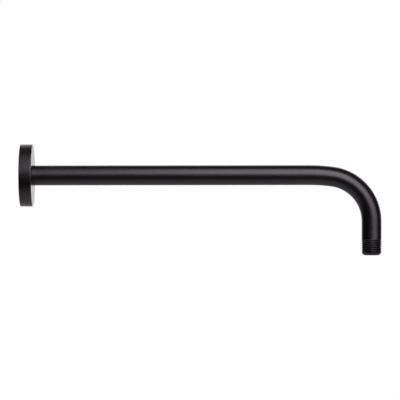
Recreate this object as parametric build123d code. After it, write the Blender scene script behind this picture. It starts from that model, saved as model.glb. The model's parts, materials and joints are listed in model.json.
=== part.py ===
from build123d import *

import math
import os

# Shower arm: a bent pipe threaded at both ends, a deep round wall flange that slips over it,
# and the rubber ring inside the flange that grips the pipe so that the flange stays where it is put.
# Millimetres. The origin is where the pipe's axis meets the finished wall, +X runs out of the wall
# along the arm, and +Z is up. The flange is drawn pushed back over the inlet's thread.

# Pipe, with a wall thick enough to roll a thread on
PIPE_OD = 20.5
PIPE_WALL = 3.15

# Centreline of the pipe: a long straight run, a slack arc, a tight arc, a short straight drop
REACH = 360.6  # wall to the outlet's axis
DROP = 82.4  # arm's axis down to the outlet's end
EASE_RADIUS = 173.0
EASE_ANGLE = 7.9  # degrees of the quarter turn that the slack arc takes
BEND_RADIUS = 46.1

# Threaded ends, drawn over the crests, which rolling raises a little above the pipe
THREAD_OD = 20.955  # half-inch thread
NOSE_LAND = 0.25  # flat ring left at the tip, inside the lead-in chamfer
RUN_OUT = 0.4  # steep shoulder, because the thread starts at full height
OUTLET_THREAD = 16.3  # from the shoulder to the tip
INLET_INSET = 0.5  # the inlet's tip stands this far inside the flange's open back

# Wall flange, a turned cup with its open side to the wall
FLANGE_OD = 64.0
FLANGE_DEPTH = 12.7
RIM_WALL = 1.8
FACE_WALL = 1.6
EDGE_BEVEL = 0.5  # round the rim's front and back edges
CORNER_BEVEL = 1.0  # inside the cup, where the face meets the rim and the hub
MOUTH_GAP = 0.12  # the hole in the face slips over the thread with this much all round
LIP_GAP = 0.7  # more at the hub's back lip, which lies over the inlet's thread

# Grip ring, cut from rubber with a square section, and the groove that holds it in the flange's hub
RING_SECTION = 1.6
RING_BEVEL = 0.4
RING_PLAY = 0.05  # from the pipe and from the groove's floor
GROOVE_SIDE_PLAY = 0.3
GROOVE_LIP = 1.2
HUB_WALL = 1.6  # metal behind the groove's floor

pipe_radius = PIPE_OD / 2
bore_radius = pipe_radius - PIPE_WALL
thread_radius = THREAD_OD / 2
slip_radius = max(pipe_radius, thread_radius)
nose_chamfer = thread_radius - bore_radius - NOSE_LAND
flange_radius = FLANGE_OD / 2

ring_middle_radius = pipe_radius + RING_PLAY + RING_SECTION / 2
groove_radius = pipe_radius + RING_SECTION + 2 * RING_PLAY
groove_width = RING_SECTION + 2 * GROOVE_SIDE_PLAY
groove_front = FLANGE_DEPTH - GROOVE_LIP
groove_back = groove_front - groove_width
ring_place = (groove_front + groove_back) / 2
hub_radius = groove_radius + HUB_WALL
hub_back = groove_back - GROOVE_LIP

# The inlet's thread ends where the groove begins, so that the ring grips plain pipe
inlet_shoulder = groove_back
inlet_thread = inlet_shoulder - INLET_INSET
outlet_shoulder = -(DROP - OUTLET_THREAD)


def pipe_route():
    """Centreline from the inlet's shoulder to the outlet's shoulder, in the XZ plane."""
    ease = math.radians(EASE_ANGLE)
    bend_start = REACH - EASE_RADIUS * math.sin(ease) - BEND_RADIUS * (1 - math.sin(ease))
    run = Line((inlet_shoulder, 0), (bend_start, 0))
    slack_arc = JernArc(run @ 1, run % 1, EASE_RADIUS, -EASE_ANGLE)
    tight_arc = JernArc(slack_arc @ 1, slack_arc % 1, BEND_RADIUS, EASE_ANGLE - 90)
    fall = Line(tight_arc @ 1, (REACH, outlet_shoulder))
    return Plane.XZ * Wire([run, slack_arc, tight_arc, fall])


def threaded_end(length):
    """End of the pipe out to the thread's crests, with its shoulder at Z 0 and its tip up."""
    outline = Polyline(
        (bore_radius, 0),
        (pipe_radius, 0),
        (thread_radius, RUN_OUT),
        (thread_radius, length - nose_chamfer),
        (bore_radius + NOSE_LAND, length),
        (bore_radius, length),
        close=True,
    )
    return revolve(Plane.XZ * make_face(outline), Axis.Z)


def make_arm():
    route = pipe_route()
    section = Circle(pipe_radius) - Circle(bore_radius)
    pipe = sweep(Plane(route @ 0, z_dir=route % 0) * section, path=route)
    inlet = Plane((inlet_shoulder, 0, 0), z_dir=(-1, 0, 0)) * threaded_end(inlet_thread)
    outlet = Plane((REACH, 0, outlet_shoulder), z_dir=(0, 0, -1)) * threaded_end(OUTLET_THREAD)
    return pipe + inlet + outlet


def make_flange():
    """Cup turned about the pipe's axis: rim, face and a hub with the grip ring's groove inside it."""
    mouth_radius = slip_radius + MOUTH_GAP
    lip_radius = slip_radius + LIP_GAP
    cup_radius = flange_radius - RIM_WALL
    cup_floor = FLANGE_DEPTH - FACE_WALL
    outline = Polyline(
        (0, cup_radius),
        (0, flange_radius),
        (FLANGE_DEPTH, flange_radius),
        (FLANGE_DEPTH, mouth_radius),
        (groove_front, mouth_radius),
        (groove_front, groove_radius),
        (groove_back, groove_radius),
        (groove_back, lip_radius),
        (hub_back, lip_radius),
        (hub_back, hub_radius),
        (cup_floor, hub_radius),
        (cup_floor, cup_radius),
        close=True,
    )
    profile = make_face(outline)
    corners = [v for v in profile.vertices() if math.isclose(v.X, cup_floor)]
    profile = chamfer(corners, CORNER_BEVEL)
    edges = [v for v in profile.vertices() if math.isclose(v.Y, flange_radius)]
    profile = chamfer(edges, EDGE_BEVEL)
    return revolve(profile, Axis.X)


def make_grip_ring():
    square = Pos(ring_place, ring_middle_radius) * Rectangle(RING_SECTION, RING_SECTION)
    section = chamfer(square.vertices(), RING_BEVEL)
    return revolve(section, Axis.X)


os.makedirs("parts", exist_ok=True)
nodes = {
    "arm_tube": make_arm(),
    "wall_flange": make_flange(),
    "flange_grip_ring": make_grip_ring(),
}
for name, solid in nodes.items():
    export_step(solid, f"parts/{name}.step")
    print(f"{name}: {len(solid.solids())} solid, {solid.volume / 1000:.2f} cm3")
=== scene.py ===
# %% [markdown]
# A shower arm in satin black, dressed over its CAD frame.
#
# The arm is a bent pipe with a thread at each end. A deep round flange slips over it and hides the
# hole in the wall, and a rubber ring inside the flange grips the pipe. The CAD gives every place
# and size. Blender adds what the CAD leaves plain: real helical threads, rounded edges, the
# coating, and a studio to look at them in.

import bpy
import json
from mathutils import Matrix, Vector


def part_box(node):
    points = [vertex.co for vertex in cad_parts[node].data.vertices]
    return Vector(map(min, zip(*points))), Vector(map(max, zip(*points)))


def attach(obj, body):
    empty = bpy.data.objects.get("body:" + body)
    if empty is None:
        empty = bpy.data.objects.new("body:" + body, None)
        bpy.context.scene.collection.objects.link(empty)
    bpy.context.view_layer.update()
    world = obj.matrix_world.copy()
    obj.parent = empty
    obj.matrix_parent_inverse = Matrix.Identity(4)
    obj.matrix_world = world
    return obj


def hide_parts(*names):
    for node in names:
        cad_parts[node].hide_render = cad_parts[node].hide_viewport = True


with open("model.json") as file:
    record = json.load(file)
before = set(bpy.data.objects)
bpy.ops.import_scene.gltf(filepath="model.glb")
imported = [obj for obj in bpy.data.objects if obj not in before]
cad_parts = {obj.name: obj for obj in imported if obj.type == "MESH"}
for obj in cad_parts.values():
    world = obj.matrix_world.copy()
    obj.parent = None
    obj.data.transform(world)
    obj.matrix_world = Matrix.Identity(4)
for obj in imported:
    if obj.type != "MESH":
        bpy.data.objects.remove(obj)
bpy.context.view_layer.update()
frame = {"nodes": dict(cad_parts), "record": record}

# %% [markdown]
# Sizes come first. Most of them can be read from the frame: a node's box gives its outer sizes, and
# the record's mounts give the axis of the outlet and the radius of the thread. What a box can't
# tell, such as the bend's two radii, is written here as a named value in millimetres, the unit that
# a maker would use, and turned into Blender's metres on the spot.

# %% Sizes
import json
import math

import bmesh
import bpy
from mathutils import Vector

MM = 0.001
arm_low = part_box("arm_tube")[0]
mounts = {mount["name"]: mount for mount in frame["record"]["mounts"]}
outlet = mounts["outlet_thread"]
inlet_tip = arm_low.x
reach = outlet["pos_m"][0]
drop = -arm_low.z
crest_radius = outlet["dims"]["r_mm"] * MM
pipe_radius = 10.25 * MM
bore_radius = 7.1 * MM
tip_radius = 7.35 * MM
print(f"reach {reach / MM:.1f} mm, drop {drop / MM:.1f} mm")
print(f"thread {2 * crest_radius / MM:.2f} mm over its crests")

# %% [markdown]
# The centreline of the pipe. It runs straight out of the wall, eases into the bend on a slack arc,
# turns down on a tight arc and falls straight to the outlet. A Blender curve with a round bevel
# would do for a plain pipe, but the threads have to sit on the same line, so the line is a
# function: how far along the pipe, in; centre and outward direction, out.

# %% Centreline
EASE_RADIUS = 173.0 * MM
EASE_ANGLE = math.radians(7.9)
BEND_RADIUS = 46.1 * MM

ease_reach = EASE_RADIUS * math.sin(EASE_ANGLE)
bend_reach = BEND_RADIUS * (1 - math.sin(EASE_ANGLE))
ease_drop = EASE_RADIUS * (1 - math.cos(EASE_ANGLE))
bend_drop = BEND_RADIUS * math.cos(EASE_ANGLE)
run = reach - ease_reach - bend_reach - inlet_tip
ease_length = EASE_RADIUS * EASE_ANGLE
bend_length = BEND_RADIUS * (math.pi / 2 - EASE_ANGLE)
fall = drop - ease_drop - bend_drop
pipe_length = run + ease_length + bend_length + fall


def pipe_section(along):
    """Centre of the pipe and the direction out of the bend, so far along from the inlet's tip."""
    into_ease = min(max(along - run, 0), ease_length)
    into_bend = min(max(along - run - ease_length, 0), bend_length)
    into_fall = max(along - run - ease_length - bend_length, 0)
    ease = into_ease / EASE_RADIUS
    turn = ease + into_bend / BEND_RADIUS
    ease_x = EASE_RADIUS * math.sin(ease)
    ease_z = EASE_RADIUS * (1 - math.cos(ease))
    bend_x = BEND_RADIUS * (math.sin(turn) - math.sin(ease))
    bend_z = BEND_RADIUS * (math.cos(ease) - math.cos(turn))
    x = inlet_tip + min(along, run) + ease_x + bend_x
    z = -ease_z - bend_z - into_fall
    return Vector((x, 0, z)), Vector((math.sin(turn), 0, math.cos(turn)))


bent = ease_length + bend_length
print(f"pipe {pipe_length / MM:.1f} mm long, of which {bent / MM:.1f} mm is bent")

# %% [markdown]
# A point on the pipe is a distance along it, an angle round it and a radius. Every surface of the
# arm is a grid of such points, with one row of points for each ring. The angle turns the way a
# right-hand thread does as it goes along the pipe, so a thread is nothing but a grid whose rows
# climb while they go round.

# %% Points on the pipe
ROUND = 96
ANGLES = [2 * math.pi * column / ROUND for column in range(ROUND + 1)]


def on_pipe(along, angle, radius):
    centre, outward = pipe_section(along)
    return centre + radius * (math.cos(angle) * outward - math.sin(angle) * Vector((0, 1, 0)))


def ring(along, radius):
    return [on_pipe(along, angle, radius) for angle in ANGLES]


print("points in a ring", ROUND)

# %% [markdown]
# The thread is a half-inch pipe thread of 14 turns to the inch, rolled into the pipe: the roots are
# pressed in and the metal that they push out stands up as crests, a little above the pipe. A bump
# map would fake it, but the outline and the dark grooves are what make a thread look like one, so
# it is modelled.
#
# The section is a V wave, which an arcsine of a cosine gives. A power of it rounds the crests, as a
# rolling die leaves them, and keeps the roots sharp. Toward the shoulder the grooves run out and
# grow shallower, as they do where the rolling dies let go, and a round nose cuts the thread off at
# the tip, so that a nut finds its way on.

# %% Thread
PITCH = 25.4 / 14 * MM
THREAD_DEPTH = 0.640 * PITCH
RUN_OUT = 9.0 * MM
RUN_OUT_DEPTH = 0.7
ROWS_A_TURN = 20
SHARPNESS = 0.96
CREST_ROUNDNESS = 1.7
SHOULDER = 0.3 * MM
OUTLET_THREAD = 16.3 * MM
INLET_THREAD = 8.8 * MM
NOSE_ROUND = 4.6 * MM
THREAD_START = 0.12


def smooth_step(low, high, value):
    share = min(max((value - low) / (high - low), 0), 1)
    return share * share * (3 - 2 * share)


def groove(turns):
    """Depth of the thread's wave, from 0 on the crest to 1 at the root."""
    wave = 0.5 - math.asin(SHARPNESS * math.cos(2 * math.pi * turns)) / (2 * math.asin(SHARPNESS))
    return wave ** CREST_ROUNDNESS


def nose_radius(from_tip):
    """Radius of the rounded tip: an arc that ends level with the crests."""
    inset = crest_radius - NOSE_ROUND
    tip_height = math.sqrt(NOSE_ROUND ** 2 - (tip_radius - inset) ** 2)
    height = max(tip_height - from_tip, 0)
    return inset + math.sqrt(NOSE_ROUND ** 2 - height ** 2)


def threaded_rows(start, length, tip_at_start):
    """Rows of a thread that climbs along the pipe, cut off at both ends of the thread."""
    end = start + length
    rows = []
    for row in range(int((length / PITCH + 2) * ROWS_A_TURN) + 1):
        turns = row / ROWS_A_TURN
        points = []
        for column, angle in enumerate(ANGLES):
            along = min(max(start + PITCH * (turns - 1 + column / ROUND), start), end)
            from_tip = along - start if tip_at_start else end - along
            from_shoulder = length - from_tip
            share = RUN_OUT_DEPTH + (1 - RUN_OUT_DEPTH) * smooth_step(0, RUN_OUT, from_shoulder)
            thread_radius = crest_radius - THREAD_DEPTH * share * groove(turns + THREAD_START)
            raised = smooth_step(0, SHOULDER, from_shoulder)
            radius = pipe_radius + (thread_radius - pipe_radius) * raised
            points.append(on_pipe(along, angle, min(radius, nose_radius(from_tip))))
        rows.append(points)
    return rows


inlet_rows = threaded_rows(0, INLET_THREAD, True)
outlet_rows = threaded_rows(pipe_length - OUTLET_THREAD, OUTLET_THREAD, False)
print(f"thread {PITCH / MM:.3f} mm a turn, {OUTLET_THREAD / PITCH:.1f} turns at the outlet")

# %% [markdown]
# The plain pipe between the threads needs few rings where it is straight and many where it bends.
# One more ring close to each thread holds the pipe straight there, because smooth shading would
# otherwise bend the light across the whole last step. The bore uses the same places, all the way
# from tip to tip, and a narrow flat ring joins bore and thread at each tip.

# %% Plain pipe and bore
STRAIGHT_STEP = 10.0 * MM
BEND_STEP = math.radians(1.5)
HOLD = 0.12 * MM


def steps(start, end, step):
    count = max(1, round((end - start) / step))
    return [start + (end - start) * number / count for number in range(count)]


bend_end = run + ease_length + bend_length
pipe_end = pipe_length - OUTLET_THREAD
pipe_places = [INLET_THREAD] + steps(INLET_THREAD + HOLD, run, STRAIGHT_STEP)
pipe_places += steps(run, run + ease_length, EASE_RADIUS * BEND_STEP)
pipe_places += steps(run + ease_length, bend_end, BEND_RADIUS * BEND_STEP)
pipe_places += steps(bend_end, pipe_end - HOLD, STRAIGHT_STEP) + [pipe_end - HOLD, pipe_end]
pipe_rows = [ring(place, pipe_radius) for place in pipe_places]

bore_rows = [ring(0, tip_radius)]
bore_rows += [ring(place, bore_radius) for place in [0] + pipe_places + [pipe_length]]
bore_rows += [ring(pipe_length, tip_radius)]
print("rings", len(pipe_rows), "on the pipe and", len(bore_rows), "in the bore")

# %% [markdown]
# The grids become one mesh. They share the points along their borders, and so do the two ends of
# each ring, so welding points that lie in the same place closes the whole skin. That also takes
# away the empty faces where the thread's rows were cut off. An edge sharper than a limit stays
# crisp, and everything else is shaded smooth.

# %% Weld grids into a piece
WELD = 0.002 * MM
CRISP_ANGLE = math.radians(40)


def add_grid(mesh, rows, material_index):
    grid = [[mesh.verts.new(point) for point in row] for row in rows]
    for row, next_row in zip(grid, grid[1:]):
        for column in range(len(row) - 1):
            corners = (row[column], row[column + 1], next_row[column + 1], next_row[column])
            mesh.faces.new(corners).material_index = material_index


def finish_piece(name, mesh):
    """Welds the grids, turns their faces outward and gives the object that shows them."""
    bmesh.ops.remove_doubles(mesh, verts=mesh.verts, dist=WELD)
    bmesh.ops.recalc_face_normals(mesh, faces=mesh.faces)
    open_edges = sum(not edge.is_manifold for edge in mesh.edges)
    data = bpy.data.meshes.new(name)
    mesh.to_mesh(data)
    mesh.free()
    data.shade_smooth()
    data.set_sharp_from_angle(angle=CRISP_ANGLE)
    piece = bpy.data.objects.new(name, data)
    bpy.context.scene.collection.objects.link(piece)
    triangles = sum(len(polygon.vertices) - 2 for polygon in data.polygons)
    print(name, triangles, "triangles,", open_edges, "open edges")
    return piece


COATED = 0
BARE = 1
arm_mesh = bmesh.new()
for rows in (inlet_rows, pipe_rows, outlet_rows):
    add_grid(arm_mesh, rows, COATED)
add_grid(arm_mesh, bore_rows, BARE)
threaded_arm = finish_piece("threaded_arm", arm_mesh)

# %% [markdown]
# The flange is turned on a lathe, so its shape is one closed outline spun round the pipe's axis.
# The outline has a rim, a thin face and, inside the cup, a hub with a groove for the grip ring.
# Each corner is listed with the radius that rounds it: a broken edge outside, a soft corner inside.
# Those rounded edges are what catch the light in the photograph.

# %% Corners of the flange
RIM_WALL = 1.8 * MM
FACE_WALL = 1.6 * MM
HUB_WALL = 1.6 * MM
MOUTH_GAP = 0.12 * MM
LIP_GAP = 0.7 * MM
GROOVE_DEPTH = 1.7 * MM
GROOVE_WIDTH = 2.2 * MM
GROOVE_LIP = 1.2 * MM

flange_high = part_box("wall_flange")[1]
flange_radius = flange_high.z
flange_front = flange_high.x
cup_radius = flange_radius - RIM_WALL
cup_floor = flange_front - FACE_WALL
mouth_radius = crest_radius + MOUTH_GAP
lip_radius = crest_radius + LIP_GAP
groove_radius = pipe_radius + GROOVE_DEPTH
groove_front = flange_front - GROOVE_LIP
groove_back = groove_front - GROOVE_WIDTH
hub_radius = groove_radius + HUB_WALL
hub_back = groove_back - GROOVE_LIP
flange_corners = [
    (0, cup_radius, 0.2 * MM),
    (0, flange_radius, 0.4 * MM),
    (flange_front, flange_radius, 1.0 * MM),
    (flange_front, mouth_radius, 0.25 * MM),
    (groove_front, mouth_radius, 0.1 * MM),
    (groove_front, groove_radius, 0.1 * MM),
    (groove_back, groove_radius, 0.1 * MM),
    (groove_back, lip_radius, 0.1 * MM),
    (hub_back, lip_radius, 0.2 * MM),
    (hub_back, hub_radius, 0.3 * MM),
    (cup_floor, hub_radius, 1.2 * MM),
    (cup_floor, cup_radius, 1.5 * MM),
]
print(f"flange {2 * flange_radius / MM:.1f} mm across and {flange_front / MM:.1f} mm deep")

# %% [markdown]
# Rounding a corner puts an arc in its place that leaves both sides in their own direction. One more
# point beside each arc holds the flat next to it flat, as the extra rings do on the pipe. A Bevel
# modifier could round the finished mesh, but here each corner keeps a radius of its own.

# %% Round the corners
ARC_STEPS = 8


def rounded(before, corner, after, radius):
    """Arc in place of a square corner, with a holding point on each side of it."""
    back = (before - corner).normalized()
    ahead = (after - corner).normalized()
    centre = corner + radius * (back + ahead)
    points = [corner + (radius + HOLD) * back]
    for step in range(ARC_STEPS + 1):
        swing = math.pi / 2 * step / ARC_STEPS
        points.append(centre - radius * (math.cos(swing) * ahead + math.sin(swing) * back))
    points.append(corner + (radius + HOLD) * ahead)
    return points


outline = []
for number, (x, radius, rounding) in enumerate(flange_corners):
    before = Vector(flange_corners[number - 1][:2])
    after = Vector(flange_corners[(number + 1) % len(flange_corners)][:2])
    outline += rounded(before, Vector((x, radius)), after, rounding)
outline.append(outline[0])
print("points in the flange's outline", len(outline) - 1)

# %% [markdown]
# Spinning sets copies of the outline all round the pipe's axis. A Screw modifier would do that too,
# but the helpers that weld the pipe are already here and close this skin in the same way. The rim
# is the largest circle on the object, so it gets twice the steps of the pipe.

# %% Spin the flange
FLANGE_ROUND = 2 * ROUND

flange_rows = []
for x, radius in outline:
    turned = []
    for column in range(FLANGE_ROUND + 1):
        angle = 2 * math.pi * column / FLANGE_ROUND
        turned.append(Vector((x, -radius * math.sin(angle), radius * math.cos(angle))))
    flange_rows.append(turned)
flange_mesh = bmesh.new()
add_grid(flange_mesh, flange_rows, COATED)
turned_flange = finish_piece("turned_flange", flange_mesh)

# %% [markdown]
# Each new piece moves with a body of the frame and stands for the CAD node that it replaces. The
# grip ring needs no new shape: its CAD node stays and only gets a better finish.

# %% Hang the pieces on the frame
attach(threaded_arm, "arm")
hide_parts("arm_tube")
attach(turned_flange, "flange")
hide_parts("wall_flange")
grip_ring = frame["nodes"]["flange_grip_ring"]
print("shown", threaded_arm.name, turned_flange.name, grip_ring.name)

# %% [markdown]
# Finishes are sums of noise and place, and such sums read best as Python. This class wraps one
# socket of a node. An operator between two of them, or with a number on either side, adds the Math
# node that works it out. Every other node comes from one method, which sets the node up before it
# fills the inputs.

# %% Shader maths
class Shade:
    """An output socket that takes part in sums as a number does."""

    def __init__(self, tree, socket=None):
        self.tree = tree
        self.socket = socket

    def node(self, kind, settings=(), inputs=(), output=0):
        made = self.tree.nodes.new(kind)
        for name, value in dict(settings).items():
            setattr(made, name, value)
        for name, value in dict(inputs).items():
            self.feed(value, made.inputs[name])
        return Shade(self.tree, made.outputs[output])

    def feed(self, value, target):
        if isinstance(value, Shade):
            self.tree.links.new(value.socket, target)
        else:
            target.default_value = value

    def work_out(self, operation, first, second):
        return self.node("ShaderNodeMath", {"operation": operation}, {0: first, 1: second})

    def __add__(self, other):
        return self.work_out("ADD", self, other)

    def __radd__(self, other):
        return self.work_out("ADD", other, self)

    def __sub__(self, other):
        return self.work_out("SUBTRACT", self, other)

    def __rsub__(self, other):
        return self.work_out("SUBTRACT", other, self)

    def __mul__(self, other):
        return self.work_out("MULTIPLY", self, other)

    def __rmul__(self, other):
        return self.work_out("MULTIPLY", other, self)

    def __truediv__(self, other):
        return self.work_out("DIVIDE", self, other)

    def __rtruediv__(self, other):
        return self.work_out("DIVIDE", other, self)

    def limited(self):
        return self.node("ShaderNodeClamp", inputs={"Value": self})

    def eased(self, low, high):
        """From 0 to 1 as the value goes from low to high, starting and ending gently."""
        inputs = {"Value": self, "From Min": low, "From Max": high}
        return self.node("ShaderNodeMapRange", {"interpolation_type": "SMOOTHSTEP"}, inputs)

    def noise(self, place, size, detail=2.0):
        """Noise from 0 to 1 whose blotches are about as large as the size given."""
        inputs = {"Vector": place, "Scale": 1 / size, "Detail": detail}
        return self.node("ShaderNodeTexNoise", inputs=inputs)

    def mixed(self, share, first, second):
        """A colour between two others."""
        return self.node("ShaderNodeMix", {"data_type": "RGBA"}, {0: share, 6: first, 7: second}, 2)

    def raised(self, height, depth):
        """A normal for a surface that rises by the depth given where the height is 1."""
        inputs = {"Height": height, "Strength": 1.0, "Distance": depth}
        return self.node("ShaderNodeBump", inputs=inputs)


def new_finish(name):
    """A material, the maths of its nodes, its shader, and the place that its noise is read at."""
    material = bpy.data.materials.new(name)
    material.use_nodes = True
    maths = Shade(material.node_tree)
    shader = material.node_tree.nodes["Principled BSDF"]
    place = maths.node("ShaderNodeTexCoord", output="Object")
    return material, maths, shader, place


print("shader maths ready")

# %% [markdown]
# The coat is a baked satin black paint. It is so dark that nearly all that is seen of it is gloss,
# so the gloss carries the finish: broad soft patches where the coat is a little duller, and a very
# fine orange peel that breaks up the edge of each reflection. The reflections lean slightly to
# purple, as they do in the photograph. A picture of paint could be wrapped round the pipe, but it
# would have to be unwrapped and would show a seam. Noise in the object's own space needs neither.

# %% Satin black coat
COAT_DARK = (0.0016, 0.0008, 0.0014, 1)
COAT_LIGHT = (0.0024, 0.0012, 0.0021, 1)
COAT_TINT = (1.0, 0.905, 1.0, 1)
COAT_IOR = 1.5
COAT_ROUGHNESS = 0.345
PATCH_SIZE = 28 * MM
PATCH_DULLING = 0.06
PEEL_SIZE = 0.9 * MM
PEEL_DEPTH = 0.0010 * MM
PEEL_DULLING = 0.03


def coat_shader(shader):
    shader.inputs["IOR"].default_value = COAT_IOR
    shader.inputs["Specular Tint"].default_value = COAT_TINT


coat, maths, shader, place = new_finish("satin_black_coat")
coat_shader(shader)
patches = maths.noise(place, PATCH_SIZE)
peel = maths.noise(place, PEEL_SIZE)
maths.feed(maths.mixed(patches, COAT_DARK, COAT_LIGHT), shader.inputs["Base Color"])
duller = PATCH_DULLING * (patches - 0.5) + PEEL_DULLING * (peel - 0.5)
maths.feed(COAT_ROUGHNESS + duller, shader.inputs["Roughness"])
maths.feed(maths.raised(peel, PEEL_DEPTH), shader.inputs["Normal"])
print(coat.name, len(coat.node_tree.nodes), "nodes")

# %% [markdown]
# The flange has the same coat over turned metal. The lathe leaves fine rings, which the coat
# softens but doesn't hide. On the rim they follow the depth, and on the face they follow the
# radius, so noise of the two added together gives rings on both. Rings as fine as these would take
# millions of faces, so they are a bump.
#
# The spray reaches the inside of the cup only at a slant, so the coat there is thin, dull and
# patchy. Depth and radius tell the inside from the outside: both change over the thickness of the
# flange's own walls.

# %% Coat over turned metal
LATHE_STEP = 0.22 * MM
LATHE_DEPTH = 0.0008 * MM
LATHE_DULLING = 0.04
THIN_COAT = (0.085, 0.080, 0.082, 1)
THIN_LEAST = 0.4
THIN_SPREAD = 0.9
THIN_PATCH_SIZE = 5 * MM
THIN_DULLING = 0.2

flange_coat, maths, shader, place = new_finish("satin_black_turned")
coat_shader(shader)
axial = maths.node("ShaderNodeSeparateXYZ", inputs={"Vector": place}, output="X")
flat = maths.node("ShaderNodeVectorMath", {"operation": "MULTIPLY"}, {0: place, 1: (0, 1, 1)})
radial = maths.node("ShaderNodeVectorMath", {"operation": "LENGTH"}, {0: flat}, "Value")
lathe = maths.node(
    "ShaderNodeTexNoise",
    {"noise_dimensions": "1D"},
    {"W": axial + radial, "Scale": 1 / LATHE_STEP, "Detail": 1.0},
)
patches = maths.noise(place, PATCH_SIZE)
peel = maths.noise(place, PEEL_SIZE)
behind_face = 1 - axial.eased(cup_floor, flange_front)
within_rim = 1 - radial.eased(cup_radius, flange_radius)
patchy = THIN_LEAST + THIN_SPREAD * maths.noise(place, THIN_PATCH_SIZE, detail=4.0)
thin = behind_face * within_rim * patchy
full_coat = maths.mixed(patches, COAT_DARK, COAT_LIGHT)
maths.feed(maths.mixed(thin, full_coat, THIN_COAT), shader.inputs["Base Color"])
duller = PATCH_DULLING * (patches - 0.5) + LATHE_DULLING * (lathe - 0.5) + THIN_DULLING * thin
maths.feed(COAT_ROUGHNESS + duller, shader.inputs["Roughness"])
maths.feed(maths.raised(lathe + peel, LATHE_DEPTH), shader.inputs["Normal"])
print(flange_coat.name, len(flange_coat.node_tree.nodes), "nodes")

# %% [markdown]
# The bore isn't coated. The paint gun only reaches a little way in, so bare brass shows deep inside
# and black overspray fades over it at both mouths. The distance from a mouth is a plain difference
# of coordinates, and noise frays its edge. Two materials would meet in a hard line, so one material
# holds both.

# %% Bare brass bore
BRASS_LIGHT = (0.66, 0.45, 0.19, 1)
BRASS_DARK = (0.40, 0.25, 0.09, 1)
BRASS_ROUGHNESS = 0.34
TARNISH_SIZE = 6 * MM
TARNISH_DULLING = 0.14
OVERSPRAY = 7 * MM
OVERSPRAY_AT_MOUTH = 1.3
OVERSPRAY_FRAY = 0.8
OVERSPRAY_DULLING = 0.12
DRAWN_SIZE = 0.5 * MM
DRAWN_DEPTH = 0.003 * MM

bore_brass, maths, shader, place = new_finish("bare_brass_bore")
from_wall = maths.node("ShaderNodeSeparateXYZ", inputs={"Vector": place}, output="X") - inlet_tip
from_outlet = maths.node("ShaderNodeSeparateXYZ", inputs={"Vector": place}, output="Z") + drop
nearest = maths.work_out("MINIMUM", from_wall, from_outlet)
tarnish = maths.noise(place, TARNISH_SIZE, detail=4.0)
frayed = OVERSPRAY_FRAY * (tarnish - 0.5)
sprayed = (OVERSPRAY_AT_MOUTH - nearest / OVERSPRAY + frayed).limited()
brass = maths.mixed(tarnish, BRASS_LIGHT, BRASS_DARK)
maths.feed(maths.mixed(sprayed, brass, COAT_DARK), shader.inputs["Base Color"])
maths.feed(1 - sprayed, shader.inputs["Metallic"])
duller = TARNISH_DULLING * tarnish + OVERSPRAY_DULLING * sprayed
maths.feed(BRASS_ROUGHNESS + duller, shader.inputs["Roughness"])
drawn = maths.noise(place, DRAWN_SIZE)
maths.feed(maths.raised(drawn, DRAWN_DEPTH), shader.inputs["Normal"])
print(bore_brass.name, len(bore_brass.node_tree.nodes), "nodes")

# %% [markdown]
# The grip ring is cut from a rubber tube, so it is dull, nearly black and slightly grained, with a
# pale bloom in patches. Hardly any of it shows between hub and pipe, so a little noise is enough.

# %% Rubber of the grip ring
RUBBER = (0.010, 0.010, 0.011, 1)
RUBBER_BLOOM = (0.030, 0.030, 0.031, 1)
RUBBER_ROUGHNESS = 0.58
BLOOM_SIZE = 3 * MM
BLOOM_DULLING = 0.2
GRAIN_SIZE = 0.25 * MM
GRAIN_DEPTH = 0.006 * MM

rubber, maths, shader, place = new_finish("grip_ring_rubber")
bloom = maths.noise(place, BLOOM_SIZE, detail=3.0)
grain = maths.noise(place, GRAIN_SIZE)
maths.feed(maths.mixed(bloom, RUBBER, RUBBER_BLOOM), shader.inputs["Base Color"])
maths.feed(RUBBER_ROUGHNESS + BLOOM_DULLING * (bloom - 0.5), shader.inputs["Roughness"])
maths.feed(maths.raised(grain, GRAIN_DEPTH), shader.inputs["Normal"])
print(rubber.name, len(rubber.node_tree.nodes), "nodes")

# %% [markdown]
# A mesh keeps a list of materials, and each of its faces holds a number in that list. The arm's
# grids were numbered when they were added, so its coat has to come first and its brass second. The
# grip ring came with a plain material of the frame, which makes way for the rubber.

# %% Put the finishes on
threaded_arm.data.materials.append(coat)
threaded_arm.data.materials.append(bore_brass)
turned_flange.data.materials.append(flange_coat)
grip_ring.data.materials.clear()
grip_ring.data.materials.append(rubber)
for piece in (threaded_arm, turned_flange, grip_ring):
    print(piece.name, [material.name for material in piece.data.materials])

# %% [markdown]
# The floor is a plain pale disc well below the arm. It throws light up at the underside of the
# pipe, as the studio's white table does. It glows by itself, as a table lit from all round would,
# so that it looks even and pale. Its rim fades out, so no hard edge shows against the white room,
# and from below it is clear.

# %% Floor
FLOOR_HEIGHT = -0.35
FLOOR_CENTRE = (0.19, 0.30)
FLOOR_RADIUS = 0.75
FLOOR_FADE = 0.25
FLOOR_ROUND = 128
PAPER = (0.10, 0.10, 0.10, 1)
PAPER_BOUNCE = (0.48, 0.48, 0.48, 1)
PAPER_SEEN = (0.80, 0.80, 0.80, 1)

floor_mesh = bmesh.new()
bmesh.ops.create_circle(floor_mesh, cap_ends=True, segments=FLOOR_ROUND, radius=FLOOR_RADIUS)
floor_data = bpy.data.meshes.new("floor")
floor_mesh.to_mesh(floor_data)
floor_mesh.free()
floor = bpy.data.objects.new("floor", floor_data)
floor.location = (*FLOOR_CENTRE, FLOOR_HEIGHT)
bpy.context.scene.collection.objects.link(floor)

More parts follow.
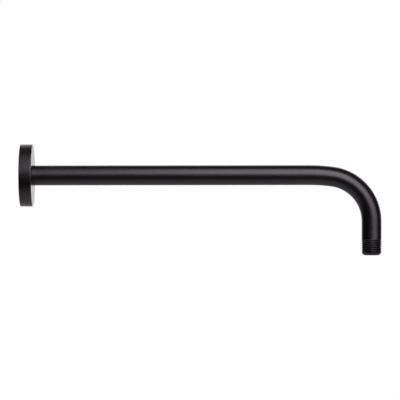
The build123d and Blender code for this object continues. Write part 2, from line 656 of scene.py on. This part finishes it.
paper, maths, shader, place = new_finish("pale_paper")
shader.inputs["Base Color"].default_value = PAPER
shader.inputs["Specular IOR Level"].default_value = 0.0
shader.inputs["Emission Strength"].default_value = 1.0
seen = maths.node("ShaderNodeLightPath", output="Is Camera Ray")
maths.feed(maths.mixed(seen, PAPER_BOUNCE, PAPER_SEEN), shader.inputs["Emission Color"])
from_middle = maths.node("ShaderNodeVectorMath", {"operation": "LENGTH"}, {0: place}, "Value")
kept = ((FLOOR_RADIUS - from_middle) / FLOOR_FADE).limited()
below = maths.node("ShaderNodeNewGeometry", output="Backfacing")
maths.feed(kept * (1 - below), shader.inputs["Alpha"])
floor.data.materials.append(paper)
print("floor", FLOOR_RADIUS, "m in radius, at", FLOOR_HEIGHT, "m")

# %% [markdown]
# The main light is one very large softbox to the right, in front of the arm and above it. It leans
# over the bend, so the long highlight on the pipe grows from the flange to the bend. An area light
# has hard edges, and a satin coat would show them, so the softbox is a sheet that glows, brightest
# in its middle, with each edge eased off by its own share of the sheet.

# %% Softbox
def hang_softbox(name, centre, turn, tilt, width, height, glow, edges):
    """A glowing unit square, scaled, turned from facing +Y and leant forward by its tilt."""
    sheet = bmesh.new()
    bmesh.ops.create_grid(sheet, x_segments=1, y_segments=1, size=0.5)
    data = bpy.data.meshes.new(name)
    sheet.to_mesh(data)
    sheet.free()
    softbox = bpy.data.objects.new(name, data)
    softbox.location = centre
    softbox.rotation_euler = (math.pi / 2 - math.radians(tilt), 0, math.radians(turn))
    softbox.scale = (width, height, 1)
    softbox.visible_camera = False
    bpy.context.scene.collection.objects.link(softbox)

    diffuser, maths, shader, place = new_finish(name + "_diffuser")
    across = maths.node("ShaderNodeSeparateXYZ", inputs={"Vector": place}, output="X") + 0.5
    upward = maths.node("ShaderNodeSeparateXYZ", inputs={"Vector": place}, output="Y") + 0.5
    left, right, bottom, top = edges
    sides = across.eased(0, left) * (1 - across).eased(0, right)
    ends = upward.eased(0, bottom) * (1 - upward).eased(0, top)
    shader.inputs["Base Color"].default_value = (0, 0, 0, 1)
    shader.inputs["Specular IOR Level"].default_value = 0.0
    shader.inputs["Emission Strength"].default_value = glow
    glowing = maths.mixed(sides * ends, (0, 0, 0, 1), (1, 1, 1, 1))
    maths.feed(glowing, shader.inputs["Emission Color"])
    data.materials.append(diffuser)
    print(f"{name} {width} by {height} m")


hang_softbox(
    "main_softbox",
    centre=(0.67, -1.54, 0.27),
    turn=86,
    tilt=44,
    width=2.6,
    height=2.6,
    glow=6.26,
    edges=(0.22, 0.07, 0.83, 0.37),
)

# %% [markdown]
# A smaller softbox hangs high over the wall end. In the photograph's own view the coat hardly
# mirrors that corner of the room, but seen from the other side of the bend it draws the pipe, and
# it lights the hollow back of the flange.

# %% Fill over the wall end
hang_softbox(
    "fill_softbox",
    centre=(-0.53, -0.05, 0.96),
    turn=-90,
    tilt=53,
    width=1.0,
    height=0.6,
    glow=3.2,
    edges=(0.3, 0.3, 0.3, 0.3),
)

# %% [markdown]
# Behind the arm hangs a white sweep, brightest straight behind. It draws the light line along each
# edge and lights the flange's face, which is seen at a glancing angle. The rest of the room is
# dark, which keeps the black black. The camera itself sees plain white all round. A sheet of paper
# with lamps of its own would do the same, but light that depends only on its direction has no edges
# and stands in no view's way.

# %% White sweep behind the arm
WIDE_GLOW = 0.77
NEAR_GLOW = 1.45

room = bpy.data.worlds.new("studio")
room.use_nodes = True
bpy.context.scene.world = room
maths = Shade(room.node_tree)
direction = maths.node("ShaderNodeTexCoord", output="Generated")
behind = maths.node("ShaderNodeSeparateXYZ", inputs={"Vector": direction}, output="Y").limited()
seen = maths.node("ShaderNodeLightPath", output="Is Camera Ray")
cubed = behind * behind * behind
glow = seen + (1 - seen) * (WIDE_GLOW * cubed + NEAR_GLOW * cubed * behind * behind)
background = room.node_tree.nodes["Background"]
background.inputs["Color"].default_value = (1, 1, 1, 1)
maths.feed(glow, background.inputs["Strength"])
print(f"sweep behind the arm {WIDE_GLOW + NEAR_GLOW:.2f}")

# %% [markdown]
# The photograph is a side view from far away with a long lens. The camera looks straight along +Y,
# and the width that it takes in at the pipe's axis sets the lens. A camera without perspective
# would come close, but the thin slice of the flange's face that shows beside the rim comes from
# perspective alone.

# %% Camera
CAMERA_DISTANCE = 2.37
VIEW_WIDTH = 0.4112
VIEW_CENTRE = (0.18435, -0.02542)
ROLL = math.radians(0.07)

camera_data = bpy.data.cameras.new("camera")
camera_data.sensor_width = 36.0
camera_data.lens = camera_data.sensor_width * CAMERA_DISTANCE / VIEW_WIDTH
camera = bpy.data.objects.new("camera", camera_data)
camera.location = (VIEW_CENTRE[0], -CAMERA_DISTANCE, VIEW_CENTRE[1])
camera.rotation_euler = (math.pi / 2, ROLL, 0)
bpy.context.scene.collection.objects.link(camera)
bpy.context.scene.camera = camera
bpy.context.scene.view_settings.view_transform = "Standard"
print(f"lens {camera_data.lens:.0f} mm")
